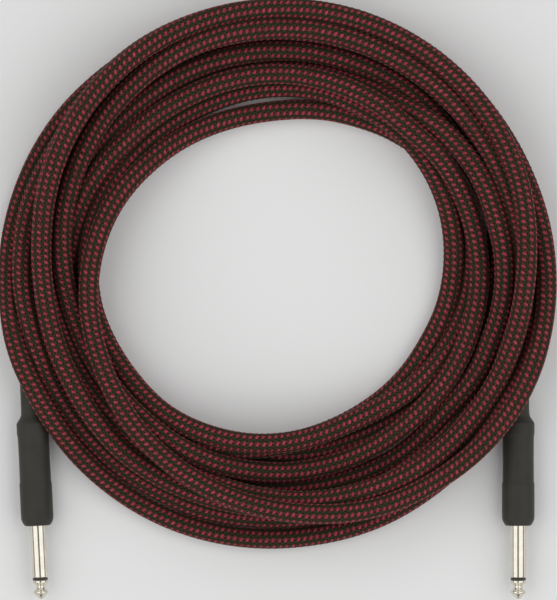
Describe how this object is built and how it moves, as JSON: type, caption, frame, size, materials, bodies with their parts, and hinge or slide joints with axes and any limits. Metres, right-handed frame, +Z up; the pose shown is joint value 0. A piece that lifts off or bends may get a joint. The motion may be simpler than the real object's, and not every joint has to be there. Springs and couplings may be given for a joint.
{
  "type": "instrument cable",
  "caption": "Woven-jacket cable in a round coil with a straight moulded quarter-inch plug on each end, side by side.",
  "frame": {"origin": "On the surface the cable lies on, midway between the two plugs in X, and midway along them in Y.", "axes": "+X from the left plug to the right plug, -Y the way both tips point, +Z up from the surface."},
  "size_m": [0.229, 0.2474, 0.029],
  "materials": {
    "woven_cover": "woven",
    "soft_touch": "soft matte",
    "nickel": "polished",
    "tinned_brass": "satin",
    "copper": "bare copper",
    "black_plastic": "satin",
    "natural_plastic": "milky"
  },
  "bodies": {
    "root": {"plug_left_body": "soft_touch", "plug_left_tip": "nickel", "plug_left_sleeve": "nickel", "plug_left_insulator": "black_plastic", "plug_left_rear_washer": "black_plastic", "plug_left_premould": "natural_plastic", "plug_left_tip_lug": "tinned_brass", "plug_left_sleeve_lug": "tinned_brass", "inner_jacket_left": "black_plastic", "braid_shield_left": "copper", "conductive_layer_left": "black_plastic", "dielectric_core_left": "natural_plastic", "centre_conductor_left": "copper", "shield_pigtail_left": "copper", "cord_lead_left": "woven_cover", "plug_right_body": "soft_touch", "plug_right_tip": "nickel", "plug_right_sleeve": "nickel", "plug_right_insulator": "black_plastic", "plug_right_rear_washer": "black_plastic", "plug_right_premould": "natural_plastic", "plug_right_tip_lug": "tinned_brass", "plug_right_sleeve_lug": "tinned_brass", "inner_jacket_right": "black_plastic", "braid_shield_right": "copper", "conductive_layer_right": "black_plastic", "dielectric_core_right": "natural_plastic", "centre_conductor_right": "copper", "shield_pigtail_right": "copper", "cord_lead_right": "woven_cover", "cord_coil": "woven_cover"}
  },
  "joints": []
}
